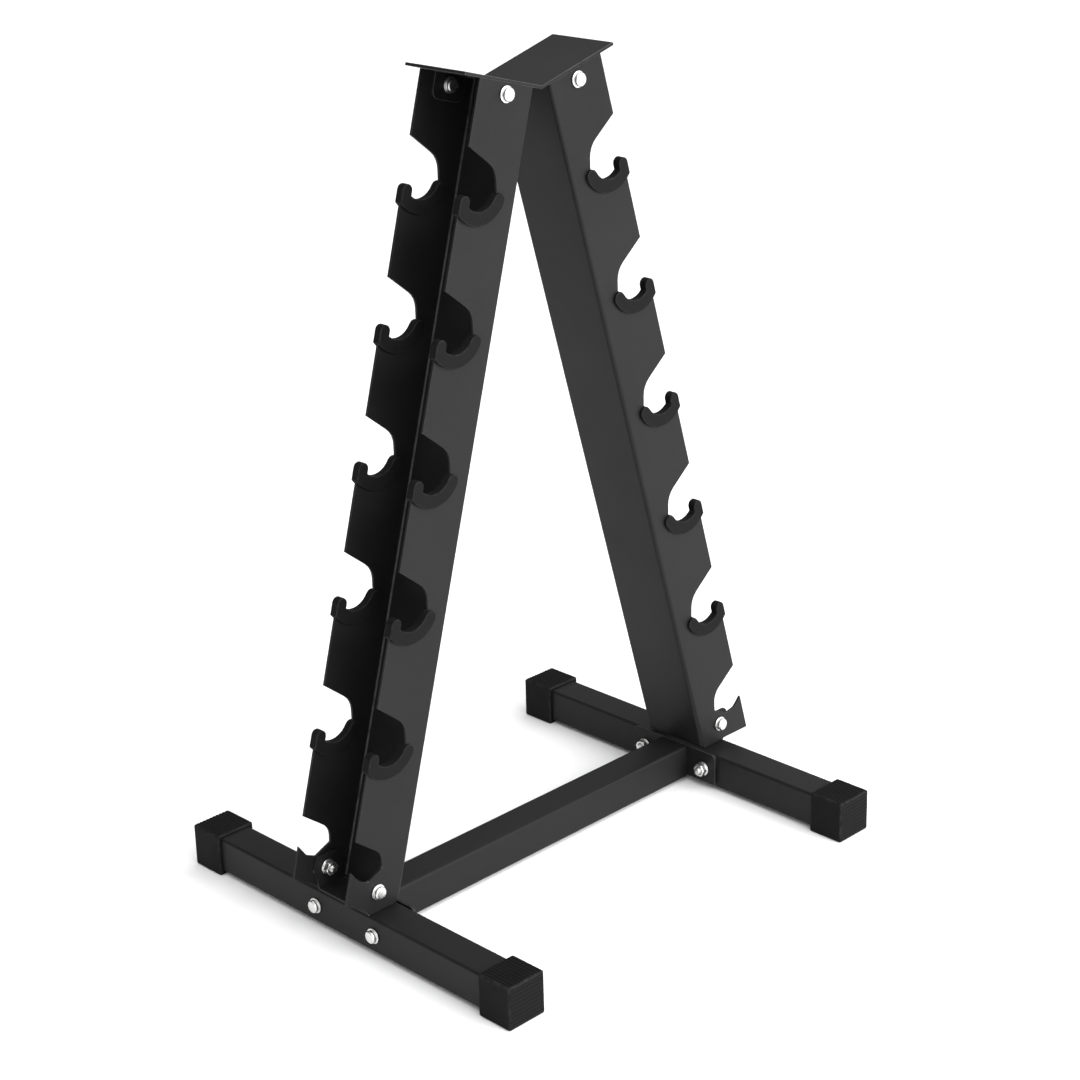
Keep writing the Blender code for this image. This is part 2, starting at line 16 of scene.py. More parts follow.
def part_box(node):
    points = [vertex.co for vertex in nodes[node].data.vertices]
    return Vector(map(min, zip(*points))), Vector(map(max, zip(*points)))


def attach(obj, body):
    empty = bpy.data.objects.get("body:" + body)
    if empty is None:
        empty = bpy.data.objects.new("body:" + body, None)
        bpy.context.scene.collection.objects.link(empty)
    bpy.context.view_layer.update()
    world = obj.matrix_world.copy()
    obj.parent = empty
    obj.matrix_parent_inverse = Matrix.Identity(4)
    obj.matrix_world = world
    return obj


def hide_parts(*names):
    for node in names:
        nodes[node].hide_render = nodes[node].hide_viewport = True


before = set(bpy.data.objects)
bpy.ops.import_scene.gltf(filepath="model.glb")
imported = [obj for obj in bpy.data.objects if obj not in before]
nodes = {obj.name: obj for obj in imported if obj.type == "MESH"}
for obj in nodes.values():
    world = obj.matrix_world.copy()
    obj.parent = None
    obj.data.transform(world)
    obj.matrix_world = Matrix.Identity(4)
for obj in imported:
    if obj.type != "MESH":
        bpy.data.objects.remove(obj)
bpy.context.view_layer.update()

# %% [markdown]
# ## Camera
# The rack is seen from its front left corner, from a little above the top
# plate, with a lens about as long as a portrait lens. The whole view has a
# slight tilt, so the camera is placed by a rotation matrix and not by a
# tracking constraint.

# %% Place the camera
CAMERA_SPOT = Vector((-1.5396, -1.5894, 1.2076))
CAMERA_AZIMUTH = math.radians(-44.47)
CAMERA_ELEVATION = math.radians(21.30)
CAMERA_ROLL = math.radians(-1.55)
LENS = 79.17
VIEW_REACH = 50


def camera_matrix(spot, azimuth, elevation, roll):
    """World matrix of a camera that looks from a direction, with a roll."""
    back = Vector((math.sin(azimuth) * math.cos(elevation),
                   -math.cos(azimuth) * math.cos(elevation),
                   math.sin(elevation)))
    level = Vector((0, 0, 1)).cross(back).normalized()
    upright = back.cross(level)
    right = math.cos(roll) * level + math.sin(roll) * upright
    up = back.cross(right)
    turn = Matrix((right, up, back)).transposed().to_4x4()
    return Matrix.Translation(spot) @ turn


camera = bpy.data.objects.new("camera", bpy.data.cameras.new("camera"))
camera.data.lens = LENS
camera.data.clip_end = VIEW_REACH
camera.matrix_world = camera_matrix(CAMERA_SPOT, CAMERA_AZIMUTH, CAMERA_ELEVATION,
                                    CAMERA_ROLL)
bpy.context.scene.collection.objects.link(camera)
bpy.context.scene.camera = camera
print("camera at", tuple(round(value, 3) for value in camera.location))

# %% [markdown]
# ## Helpers for node trees
# Shader groups and Geometry Nodes trees are wired the same way: make a node,
# set its own fields, then link sockets. Two short helpers keep each tree
# readable as a list of steps.

# %% Wiring helpers
# Places of the sockets that a mix node uses for colours
MIX_FACTOR = 0
MIX_FIRST = 6
MIX_SECOND = 7
MIX_RESULT = 2


def add_node(tree, kind, inputs=None, **fields):
    """Add a node, set its fields, then set or link its inputs."""
    made = tree.nodes.new(kind)
    for field, value in fields.items():
        setattr(made, field, value)
    for key, value in (inputs or {}).items():
        if isinstance(value, bpy.types.NodeSocket):
            tree.links.new(value, made.inputs[key])
        else:
            made.inputs[key].default_value = value
    return made


def add_socket(tree, name, direction, kind, value=None):
    """Add a named input or output to a group's interface."""
    made = tree.interface.new_socket(name=name, in_out=direction, socket_type=kind)
    if value is not None:
        made.default_value = value


def ramp(tree, value, low, high, to_low, to_high):
    """Map a value from one range to another, clamped."""
    inputs = {"Value": value, "From Min": low, "From Max": high,
              "To Min": to_low, "To Max": to_high}
    return add_node(tree, "ShaderNodeMapRange", inputs).outputs["Result"]


def blend_color(tree, factor, first, second):
    """Mix two colours by a factor that changes over the surface."""
    inputs = {MIX_FACTOR: factor, MIX_FIRST: first, MIX_SECOND: second}
    made = add_node(tree, "ShaderNodeMix", inputs, data_type="RGBA")
    return made.outputs[MIX_RESULT]


print("a mix node takes its two colours at inputs", MIX_FIRST, "and", MIX_SECOND)

# %% [markdown]
# ## Shared surface effects
# Every finish here needs two things: a grain with slow changes of tone, and
# a mask that finds the rounded edges, where hands and dumbbells rub. On the
# steel the same mask also lays a painted highlight, a thin light line along
# the cut edges and the inner bends. Both are shader node groups, so paint,
# rubber and zinc share one recipe and only differ in their numbers. The edge
# mask reads an attribute called `rim`, which is written later on the faces
# that round each edge and on the strips of the tight bends of the steel.

# %% Grain group
SPECKLE_FINER = 3.1  # the speckle is this many times finer than the bumps
GRAIN = bpy.data.node_groups.new("surface_grain", "ShaderNodeTree")
add_socket(GRAIN, "Grain Scale", "INPUT", "NodeSocketFloat", 900.0)
add_socket(GRAIN, "Patch Scale", "INPUT", "NodeSocketFloat", 14.0)
add_socket(GRAIN, "Stretch", "INPUT", "NodeSocketVector", (1, 1, 1))
add_socket(GRAIN, "Height", "OUTPUT", "NodeSocketFloat")
add_socket(GRAIN, "Speckle", "OUTPUT", "NodeSocketFloat")
add_socket(GRAIN, "Patches", "OUTPUT", "NodeSocketFloat")


def build_grain(tree):
    """Fine bumps, finer speckle and broad patches on Object coordinates."""
    given = add_node(tree, "NodeGroupInput")
    result = add_node(tree, "NodeGroupOutput")
    spot = add_node(tree, "ShaderNodeTexCoord").outputs["Object"]
    stretched = add_node(tree, "ShaderNodeVectorMath", {0: spot, 1: given.outputs["Stretch"]},
                         operation="MULTIPLY").outputs[0]
    bumps = add_node(tree, "ShaderNodeTexNoise",
                     {"Vector": stretched, "Scale": given.outputs["Grain Scale"],
                      "Detail": 3.0, "Roughness": 0.55})
    finer = add_node(tree, "ShaderNodeMath", {0: given.outputs["Grain Scale"], 1: SPECKLE_FINER},
                     operation="MULTIPLY").outputs[0]
    speckle = add_node(tree, "ShaderNodeTexNoise",
                       {"Vector": spot, "Scale": finer, "Detail": 2.0})
    patches = add_node(tree, "ShaderNodeTexNoise",
                       {"Vector": spot, "Scale": given.outputs["Patch Scale"],
                        "Detail": 4.0, "Roughness": 0.6})
    tree.links.new(bumps.outputs["Fac"], result.inputs["Height"])
    tree.links.new(speckle.outputs["Fac"], result.inputs["Speckle"])
    tree.links.new(patches.outputs["Fac"], result.inputs["Patches"])


build_grain(GRAIN)
print("group", GRAIN.name, "with", len(GRAIN.nodes), "nodes")

# %% Edge wear and painted highlight group
RIM = "rim"
WEAR_AND_HIGHLIGHT_STARTS = 0.85
WEAR_AND_HIGHLIGHT_FULL = 1.15
EDGE_WEAR_AND_HIGHLIGHT = bpy.data.node_groups.new("edge_wear_and_highlight", "ShaderNodeTree")
add_socket(EDGE_WEAR_AND_HIGHLIGHT, "Breakup Scale", "INPUT", "NodeSocketFloat", 120.0)
add_socket(EDGE_WEAR_AND_HIGHLIGHT, "Coverage", "INPUT", "NodeSocketFloat", 0.5)
add_socket(EDGE_WEAR_AND_HIGHLIGHT, "Wear And Highlight", "OUTPUT", "NodeSocketFloat")


def build_wear_and_highlight(tree):
    """The rim attribute, broken up by noise so that wear and a painted highlight come and go."""
    given = add_node(tree, "NodeGroupInput")
    result = add_node(tree, "NodeGroupOutput")
    spot = add_node(tree, "ShaderNodeTexCoord").outputs["Object"]
    rim = add_node(tree, "ShaderNodeAttribute", attribute_name=RIM).outputs["Fac"]
    noise = add_node(tree, "ShaderNodeTexNoise",
                     {"Vector": spot, "Scale": given.outputs["Breakup Scale"],
                      "Detail": 5.0, "Roughness": 0.65}).outputs["Fac"]
    lifted = add_node(tree, "ShaderNodeMath", {0: noise, 1: given.outputs["Coverage"]},
                      operation="ADD").outputs[0]
    broken = ramp(tree, lifted, WEAR_AND_HIGHLIGHT_STARTS, WEAR_AND_HIGHLIGHT_FULL, 0.0, 1.0)
    # The mask gives worn rims, and on the steel a painted highlight along edges and bends
    wear_and_highlight = add_node(tree, "ShaderNodeMath", {0: rim, 1: broken}, operation="MULTIPLY")
    tree.links.new(wear_and_highlight.outputs[0], result.inputs["Wear And Highlight"])


build_wear_and_highlight(EDGE_WEAR_AND_HIGHLIGHT)
print("group", EDGE_WEAR_AND_HIGHLIGHT.name, "with", len(EDGE_WEAR_AND_HIGHLIGHT.nodes), "nodes")

# %% [markdown]
# ## The three finishes
# The steel has a satin black powder coat: a fine orange peel, with gloss
# that drifts slowly over a panel, and a slightly greyer line along each edge
# and inner bend, partly worn paint and partly a painted highlight.
# The pads and caps are dull moulded rubber with a pebbled skin. The bolts
# are zinc plated, so they are the only bare metal. Values that are the same
# all over a finish are set on the shader itself.

# %% Finish maker
# Parts of the noise range that the tone, the flecks and the gloss follow
TONE_RANGE = (0.35, 0.65)
FLECK_RANGE = (0.35, 0.7)
GLOSS_RANGE = (0.3, 0.7)


def make_finish(name, base, light, worn_and_highlight, grain, wear_and_highlight, rough, bump, metallic=0.0, specular=0.5):
    """One material from the shared groups and the numbers of its own finish.

    The pairs are (least, most) for rough and (strength, distance) for bump.
    """
    made = bpy.data.materials.new(name)
    made.use_nodes = True
    tree = made.node_tree
    shader = tree.nodes["Principled BSDF"]
    grain_node = add_node(tree, "ShaderNodeGroup", node_tree=GRAIN)
    for key, value in grain.items():
        grain_node.inputs[key].default_value = value
    wear_and_highlight_node = add_node(tree, "ShaderNodeGroup", node_tree=EDGE_WEAR_AND_HIGHLIGHT)
    for key, value in wear_and_highlight.items():
        wear_and_highlight_node.inputs[key].default_value = value
    tone = ramp(tree, grain_node.outputs["Patches"], *TONE_RANGE, 0.0, 1.0)
    flecks = ramp(tree, grain_node.outputs["Speckle"], *FLECK_RANGE, 0.0, 1.0)
    mixed = add_node(tree, "ShaderNodeMath", {0: tone, 1: flecks},
                     operation="MULTIPLY").outputs[0]
    color = blend_color(tree, mixed, (*base, 1), (*light, 1))
    # Where the edge mask is, the rim colour is worn finish, and on the steel also a painted
    # highlight line
    color = blend_color(tree, wear_and_highlight_node.outputs["Wear And Highlight"], color, (*worn_and_highlight, 1))
    tree.links.new(color, shader.inputs["Base Color"])
    gloss = ramp(tree, grain_node.outputs["Patches"], *GLOSS_RANGE, *rough)
    tree.links.new(gloss, shader.inputs["Roughness"])
    strength, distance = bump
    bump_node = add_node(tree, "ShaderNodeBump",
                         {"Strength": strength, "Distance": distance,
                          "Height": grain_node.outputs["Height"]})
    tree.links.new(bump_node.outputs["Normal"], shader.inputs["Normal"])
    shader.inputs["Metallic"].default_value = metallic
    shader.inputs["Specular IOR Level"].default_value = specular
    return made


print("the gloss follows the noise between", *GLOSS_RANGE)

# %% Black powder paint on the steel
# The grey given for the rims is partly worn paint and partly a painted highlight along edges and
# inner bends
PAINT = make_finish(
    "satin_black_powder_coat",
    base=(0.008, 0.008, 0.0085), light=(0.013, 0.013, 0.0135), worn_and_highlight=(0.060, 0.060, 0.062),
    grain={"Grain Scale": 780.0, "Patch Scale": 9.0},
    wear_and_highlight={"Breakup Scale": 60.0, "Coverage": 0.62},
    rough=(0.40, 0.52), bump=(0.35, 0.0004), specular=0.15)
print(PAINT.name, "has", len(PAINT.node_tree.nodes), "nodes")

# %% Moulded rubber for pads and caps
RUBBER = make_finish(
    "moulded_black_rubber",
    base=(0.005, 0.005, 0.005), light=(0.009, 0.009, 0.009), worn_and_highlight=(0.018, 0.018, 0.018),
    grain={"Grain Scale": 1500.0, "Patch Scale": 30.0},
    wear_and_highlight={"Breakup Scale": 180.0, "Coverage": 0.5},
    rough=(0.58, 0.74), bump=(0.5, 0.0003), specular=0.08)
print(RUBBER.name, "has", len(RUBBER.node_tree.nodes), "nodes")

# %% Zinc plate on the fasteners
ZINC = make_finish(
    "bright_zinc_plate",
    base=(0.72, 0.72, 0.71), light=(0.80, 0.80, 0.79), worn_and_highlight=(0.62, 0.61, 0.60),
    grain={"Grain Scale": 1300.0, "Patch Scale": 260.0},
    wear_and_highlight={"Breakup Scale": 500.0, "Coverage": 0.55},
    rough=(0.24, 0.40), bump=(0.25, 0.0002), metallic=1.0)
print(ZINC.name, "has", len(ZINC.node_tree.nodes), "nodes")

# %% [markdown]
# ## Rounded edges on the steel
# Sheet that is cut, bent and painted never has a knife edge: the powder pools
# into a small round, and that round is what catches the light. The packed
# solids are sharp, so each steel piece is copied, its loose triangles merged
# into whole faces, and its corners bevelled. The new faces get the `rim`
# value, and so do the narrow strips of the inner bends: there the paint turns
# greyer, partly as wear and partly as a painted highlight line. Weighted
# normals keep the large faces flat to the eye. The top end of each post stays
# square, because the bracket lies on it.


# %% Merge and bevel helpers
def merged(node, tolerance=1e-6, flatness=0.6):
    """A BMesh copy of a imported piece, with its triangles joined into faces."""
    work = bmesh.new()
    work.from_mesh(nodes[node].data)
    bmesh.ops.remove_doubles(work, verts=work.verts, dist=tolerance)
    bmesh.ops.dissolve_degenerate(work, dist=tolerance, edges=work.edges)
    bmesh.ops.dissolve_limit(work, angle_limit=math.radians(flatness),
                             verts=work.verts, edges=work.edges)
    return work


def mark(faces, rim):
    """Give the full rim value to faces."""
    for face in faces:
        for loop in face.loops:
            loop[rim] = 1.0


def bevel(work, rim, edges, width, segments):
    """Round edges with a bevel and mark its faces."""
    done = bmesh.ops.bevel(work, geom=edges, offset=width, offset_type="OFFSET",
                           segments=segments, profile=0.5, affect="EDGES",
                           clamp_overlap=True)
    mark(done["faces"], rim)


def round_edges(work, width, segments=2, sharper=34, skip=()):
    """Bevel the edges sharper than an angle and return how many there are."""
    rim = work.loops.layers.float.new(RIM)
    limit = math.radians(sharper)
    edges = [edge for edge in work.edges if edge not in skip
             and len(edge.link_faces) == 2 and edge.calc_face_angle() > limit]
    bevel(work, rim, edges, width, segments)
    return len(edges)


def mark_narrow(work, width):
    """Mark strips narrower than a width, such as those of tight bends, so that they take the
    painted highlight line.
    """
    rim = work.loops.layers.float[RIM]
    narrow = [face for face in work.faces if face.calc_area()
              < width * max(edge.calc_length() for edge in face.edges)]
    mark(narrow, rim)


def bake(item):
    """Apply an object's modifiers, so that only a plain mesh is left."""
    bpy.context.view_layer.update()
    graph = bpy.context.evaluated_depsgraph_get()
    mesh = bpy.data.meshes.new_from_object(item.evaluated_get(graph))
    item.modifiers.clear()
    item.data = mesh
    mesh.name = item.name


def even_normals(item):
    """Smooth shading whose normals follow the largest faces."""
    item.data.shade_smooth()
    item.modifiers.new("normals", "WEIGHTED_NORMAL").keep_sharp = True
    bake(item)


def finished(name, work, finish):
    """Turn a BMesh into a finished object that stands at the origin."""
    mesh = bpy.data.meshes.new(name)
    work.to_mesh(mesh)
    work.free()
    mesh.materials.clear()
    mesh.materials.append(finish)
    item = bpy.data.objects.new(name, mesh)
    bpy.context.scene.collection.objects.link(item)
    even_normals(item)
    return item


sample = merged("left_post")
print("the left post merges into", len(sample.faces), "faces")
sample.free()

# %% Round and paint the steel pieces
STEEL_ROUND = 0.0004
TIGHT_BEND = 0.0012   # strips of the inner bends are narrower than this
SEAT_CLOSE = 0.00025  # a post's top end is raised by this towards the bracket
LEVEL_ENOUGH = 0.9    # upward part of the normal of a post's top end
STEEL = [name for name in sorted(nodes)
         if name.endswith(("post", "tube", "end_plate", "bracket"))]
for name in STEEL:
    steel = merged(name)
    covered = set()
    if name.endswith("post"):
        upward = [face for face in steel.faces if face.normal.z > LEVEL_ENOUGH]
        top_end = max(upward, key=lambda face: face.calc_center_median().z)
        covered = set(top_end.edges)
        rise = top_end.normal * SEAT_CLOSE
        for vert in top_end.verts:
            vert.co += rise
    count = round_edges(steel, STEEL_ROUND, skip=covered)
    # The inner bends take the rim value, which paints a highlight line along them
    mark_narrow(steel, TIGHT_BEND)
    piece = finished(name + "_painted", steel, PAINT)
    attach(piece, "root")
    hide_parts(name)
    print(piece.name, "rounded", count, "edges,", len(piece.data.polygons), "faces")

# %% [markdown]
# ## Cradle pads
# Each pad is a rubber liner pushed over the edge of a notch, with two lips
# that grip the sheet. Moulded rubber has soft corners all round, so the pads
# get the same treatment as the steel with a rounding over twice as wide.

# %% Mould the pads
PAD_ROUND = 0.0009
PAD_STEPS = 3
PAD_SHARPER = 40  # degrees
PADS = [name for name in sorted(nodes) if "_pad_" in name]
for name in PADS:
    rubber = merged(name)
    round_edges(rubber, PAD_ROUND, PAD_STEPS, PAD_SHARPER)
    piece = finished(name + "_moulded", rubber, RUBBER)
    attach(piece, "root")
    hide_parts(name)
print(len(PADS), "pads, the last with", len(piece.data.polygons), "faces")

# %% [markdown]
# ## Ribbed end caps
# A cap is a square rubber cup pushed over the end of a foot. Fine ribs run
# along its top and across its end face, to give a grip when it is pulled
# off. The cup is a bevelled shell made in mesh code. The ribs repeat, so
# Geometry Nodes lay them: one rounded bar, a line of points, and a copy of
# the bar at each point. The bolt threads will end their tree in the same
# way, so the two share that end and the helper that runs a tree.


# %% Helpers for Geometry Nodes
def end_tree(tree, given, parts):
    """Join parts to the incoming mesh, make copies real and set the finish."""
    joined = add_node(tree, "GeometryNodeJoinGeometry")
    for part in (*parts, given.outputs["Geometry"]):
        tree.links.new(part, joined.inputs[0])
    real = add_node(tree, "GeometryNodeRealizeInstances", {0: joined.outputs[0]})
    painted = add_node(tree, "GeometryNodeSetMaterial",
                       {"Geometry": real.outputs[0], "Material": given.outputs["Finish"]})
    result = add_node(tree, "NodeGroupOutput")
    tree.links.new(painted.outputs[0], result.inputs[0])


def grow(item, tree, values):
    """Run a tree on an object with the named values, and bake the result."""
    modifier = item.modifiers.new(tree.name, "NODES")
    modifier.node_group = tree
    for socket in tree.interface.items_tree:
        if socket.in_out == "INPUT" and socket.name in values:
            modifier[socket.identifier] = values[socket.name]
    bake(item)


print("every tree ends by making its copies real and setting a finish")

# %% Geometry Nodes tree for the ribs
BAR_SIDES = 8


def rib_row(tree, given, length, across, start):
    """Rounded bars along a length, stepped across it from a start."""
    line = add_node(tree, "GeometryNodeCurvePrimitiveLine", {"End": length})
    round_bar = add_node(tree, "GeometryNodeCurvePrimitiveCircle",
                         {"Resolution": BAR_SIDES, "Radius": given.outputs["Rib Radius"]})
    bar = add_node(tree, "GeometryNodeCurveToMesh",
                   {"Curve": line.outputs[0], "Profile Curve": round_bar.outputs["Curve"],
                    "Fill Caps": True})
    points = add_node(tree, "GeometryNodeMeshLine",
                      {"Count": given.outputs["Rib Count"], "Start Location": start,
                       "Offset": across})
    copies = add_node(tree, "GeometryNodeInstanceOnPoints",
                      {"Points": points.outputs["Mesh"], "Instance": bar.outputs["Mesh"]})
    return copies.outputs["Instances"]


def build_rib_tree():
    """Add ribs to the top and the end face of a cap shell."""
    tree = bpy.data.node_groups.new("cap_ribs", "GeometryNodeTree")
    add_socket(tree, "Geometry", "INPUT", "NodeSocketGeometry")
    add_socket(tree, "Rib Count", "INPUT", "NodeSocketInt", 10)
    add_socket(tree, "Rib Pitch", "INPUT", "NodeSocketFloat", 0.0038)
    add_socket(tree, "Rib Radius", "INPUT", "NodeSocketFloat", 0.001)
    add_socket(tree, "Top Start", "INPUT", "NodeSocketVector")
    add_socket(tree, "Top Length", "INPUT", "NodeSocketVector")
    add_socket(tree, "End Start", "INPUT", "NodeSocketVector")
    add_socket(tree, "End Length", "INPUT", "NodeSocketVector")
    add_socket(tree, "Finish", "INPUT", "NodeSocketMaterial")
    add_socket(tree, "Geometry", "OUTPUT", "NodeSocketGeometry")
    given = add_node(tree, "NodeGroupInput")
    pitch = given.outputs["Rib Pitch"]
    step_x = add_node(tree, "ShaderNodeCombineXYZ", {"X": pitch}).outputs[0]
    step_z = add_node(tree, "ShaderNodeCombineXYZ", {"Z": pitch}).outputs[0]
    top = rib_row(tree, given, given.outputs["Top Length"], step_x,
                  given.outputs["Top Start"])
    end = rib_row(tree, given, given.outputs["End Length"], step_z,
                  given.outputs["End Start"])
    end_tree(tree, given, (end, top))
    return tree


RIB_TREE = build_rib_tree()
print("tree", RIB_TREE.name, "with", len(RIB_TREE.nodes), "nodes")

# %% [markdown]
# The shell stands a rib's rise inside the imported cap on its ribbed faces, so
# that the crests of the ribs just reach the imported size.

# %% Cap shells and their ribs
RIB_COUNT = 10
RIB_RISE = 0.0006    # how far the crests stand above the shell
RIB_RADIUS = 0.0010
RIB_INSET = 0.002    # from the edges of the cap to the ends of a rib
CAP_ROUND = 0.0022
CAP_STEPS = 4
CAP_MARGIN = 0.0042  # from the edges of the cap to the first and the last rib
BORE_GAP = 0.0002
BORE_PAST = 0.01     # how far the cutter reaches out of the mouth


def add_block(work, low, high):
    """Add an axis-aligned block to a BMesh."""
    plan = ((low.x, low.y), (high.x, low.y), (high.x, high.y), (low.x, high.y))
    corners = [work.verts.new((x, y, z)) for z in (low.z, high.z) for x, y in plan]
    sides = [(3, 2, 1, 0), (4, 5, 6, 7), (0, 1, 5, 4), (1, 2, 6, 5), (2, 3, 7, 6), (3, 0, 4, 7)]
    for side in sides:
        work.faces.new([corners[i] for i in side])


def cap_shell(low, high, outward):
    """A rounded block, a rib's rise inside the cap on its two ribbed faces."""
    work = bmesh.new()
    rim = work.loops.layers.float.new(RIM)
    shell_low, shell_high = low.copy(), high.copy()
    shell_high.z -= RIB_RISE
    if outward < 0:
        shell_low.y += RIB_RISE
    else:
        shell_high.y -= RIB_RISE
    add_block(work, shell_low, shell_high)
    bevel(work, rim, list(work.edges), CAP_ROUND, CAP_STEPS)
    return work


def cut_bore(item, low, high):
    """Cut a square bore out of an object."""
    bore = bmesh.new()
    add_block(bore, low, high)
    cutter_mesh = bpy.data.meshes.new("bore")
    bore.to_mesh(cutter_mesh)
    bore.free()
    cutter = bpy.data.objects.new("bore", cutter_mesh)
    bpy.context.scene.collection.objects.link(cutter)
    cut = item.modifiers.new("bore", "BOOLEAN")
    cut.operation = "DIFFERENCE"
    cut.solver = "EXACT"
    cut.object = cutter
    bake(item)
    bpy.data.objects.remove(cutter, do_unlink=True)


def build_cap(name):
    """One cap: rounded cup, bored for its tube, with its two rows of ribs."""
    low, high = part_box(name)
    tube_low, tube_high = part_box(name.split("_")[0] + "_foot_tube")
    outward = -1 if low.y < 0 else 1
    item = finished(name + "_ribbed", cap_shell(low, high, outward), RUBBER)
    gap = Vector((BORE_GAP, 0, BORE_GAP))
    bore_low, bore_high = tube_low - gap, tube_high + gap
    if outward < 0:
        bore_low.y, bore_high.y = tube_low.y - BORE_GAP, high.y + BORE_PAST
        end_y = low.y + RIB_RADIUS
    else:
        bore_low.y, bore_high.y = low.y - BORE_PAST, tube_high.y + BORE_GAP
        end_y = high.y - RIB_RADIUS
    cut_bore(item, bore_low, bore_high)
    size = high - low
    grow(item, RIB_TREE, {
        "Rib Count": RIB_COUNT,
        "Rib Pitch": (size.x - 2 * CAP_MARGIN) / (RIB_COUNT - 1),
        "Rib Radius": RIB_RADIUS,
        "Top Start": (low.x + CAP_MARGIN, low.y + RIB_INSET, high.z - RIB_RADIUS),
        "Top Length": (0, size.y - 2 * RIB_INSET, 0),
        "End Start": (low.x + RIB_INSET, end_y, low.z + CAP_MARGIN),
        "End Length": (size.x - 2 * RIB_INSET, 0, 0),
        "Finish": RUBBER})
    return item


CAPS = [name for name in sorted(nodes) if name.endswith("_cap")]
for name in CAPS:
    piece = build_cap(name)
    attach(piece, "root")
    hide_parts(name)
    print(piece.name, len(piece.data.polygons), "faces")

# %% [markdown]
# ## Bolts and nuts
# The fasteners are the bright points of the rack. Each bolt has a low round
# head with a turned edge, a plain washer, and a thread that shows beyond its
# nut. Heads and nuts are turned from a profile. The thread follows a spiral,
# so Geometry Nodes sweep a small square along it, one corner outwards.

# %% Geometry Nodes tree for the thread
TURN_STEPS = 20
RIDGE_SIDES = 4


def build_thread_tree():
    """Wind a thread round the end of a bolt that stands along Z."""
    tree = bpy.data.node_groups.new("bolt_thread", "GeometryNodeTree")
    add_socket(tree, "Geometry", "INPUT", "NodeSocketGeometry")
    add_socket(tree, "Turns", "INPUT", "NodeSocketFloat", 8.0)
    add_socket(tree, "Thread Length", "INPUT", "NodeSocketFloat", 0.01)
    add_socket(tree, "Thread Start", "INPUT", "NodeSocketVector")
    add_socket(tree, "Pitch Radius", "INPUT", "NodeSocketFloat", 0.0036)
    add_socket(tree, "Ridge", "INPUT", "NodeSocketFloat", 0.0005)
    add_socket(tree, "Finish", "INPUT", "NodeSocketMaterial")
    add_socket(tree, "Geometry", "OUTPUT", "NodeSocketGeometry")
    given = add_node(tree, "NodeGroupInput")
    radius = given.outputs["Pitch Radius"]
    path = add_node(tree, "GeometryNodeCurveSpiral",
                    {"Resolution": TURN_STEPS, "Rotations": given.outputs["Turns"],
                     "Start Radius": radius, "End Radius": radius,
                     "Height": given.outputs["Thread Length"]})
    ridge = add_node(tree, "GeometryNodeCurvePrimitiveCircle",
                     {"Resolution": RIDGE_SIDES, "Radius": given.outputs["Ridge"]})
    swept = add_node(tree, "GeometryNodeCurveToMesh",
                     {"Curve": path.outputs[0], "Profile Curve": ridge.outputs["Curve"],
                      "Fill Caps": True})
    moved = add_node(tree, "GeometryNodeTransform",
                     {"Geometry": swept.outputs[0], "Translation": given.outputs["Thread Start"]})
    end_tree(tree, given, (moved.outputs[0],))
    return tree


THREAD_TREE = build_thread_tree()
print("tree", THREAD_TREE.name, "with", len(THREAD_TREE.nodes), "nodes")

# %% Turned profiles
FASTENER_SIDES = 48
WASHER_RADIUS = 0.008
WASHER_THICK = 0.0014
HEAD_RADIUS = 0.0066
HEAD_HEIGHT = 0.0045
SHANK_RADIUS = 0.004
NUT_FLATS = 0.013
NUT_HEIGHT = 0.0065
NUT_CLEARANCE = 0.0002
THREAD_PITCH = 0.00125
THREAD_DEPTH = 0.0005
THREAD_REACH = 0.016    # longest thread from the tip towards the head
THREAD_RUNOUT = 0.0006  # length over which the shank tapers to the thread
PLAIN_SHANK = 0.002     # least unthreaded length under the washer
TIP_TAPER = 0.0008      # loss of radius at the tip of a bolt
CORNER = 0.0004         # broken corners of heads, washers and nuts
SOFT_CORNER = 0.0003    # smaller ones, mostly at the seats
NUT_SEAT_BEVEL = 0.0009
NUT_TOP_BEVEL = 0.0010
NUT_TOP_STEP = 0.0002   # last step of the bevel at the top of a nut
BORE_BEVEL = 0.0005
NARROW_FACE = 1.6e-7    # area in square metres below which a face is an edge
HEAD_FLAT = 0.0012      # radius of the flat middle of a head
HEAD_DISH = 0.00002     # depth of that middle, so that the head stays in its box
# Rows of a head's crown, from its middle to its side, as (inset, depth)
HEAD_CROWN = ((0.0024, 0.00008), (0.0013, 0.00025), (0.0006, 0.0006),
              (0.00015, 0.0012), (0.0, 0.0019))
# Rows of the round of a washer under a head, as (inset, depth)
WASHER_ROUND = ((0.0004, 0.0), (0.0001, 0.0002), (0.0, 0.0005))


def turned(work, profile, closed):
    """Spin rows of a radius, or a radius by angle, and a height about Z."""
    rows = []
    for radius, height in profile:
        ring = []
        for i in range(FASTENER_SIDES):
            angle = 2 * math.pi * i / FASTENER_SIDES
            reach = radius(angle) if callable(radius) else radius
            spot = (reach * math.cos(angle), reach * math.sin(angle), height)
            ring.append(work.verts.new(spot))
        rows.append(ring)
    pairs = list(zip(rows, rows[1:])) + ([(rows[-1], rows[0])] if closed else [])
    for one, two in pairs:
        for i in range(FASTENER_SIDES):
            j = (i + 1) % FASTENER_SIDES
            work.faces.new((one[i], one[j], two[j], two[i]))
    if not closed:
        work.faces.new(list(reversed(rows[0])))
        work.faces.new(rows[-1])
    bmesh.ops.recalc_face_normals(work, faces=work.faces)


def six_flats(limit):
    """Radius of a hexagonal nut at an angle, with its corners cut at a limit."""
    def radius(angle):
        off = (angle + math.pi / 6) % (math.pi / 3) - math.pi / 6
        return min(NUT_FLATS / 2 / math.cos(math.pi / 6 - abs(off)), limit)
    return radius


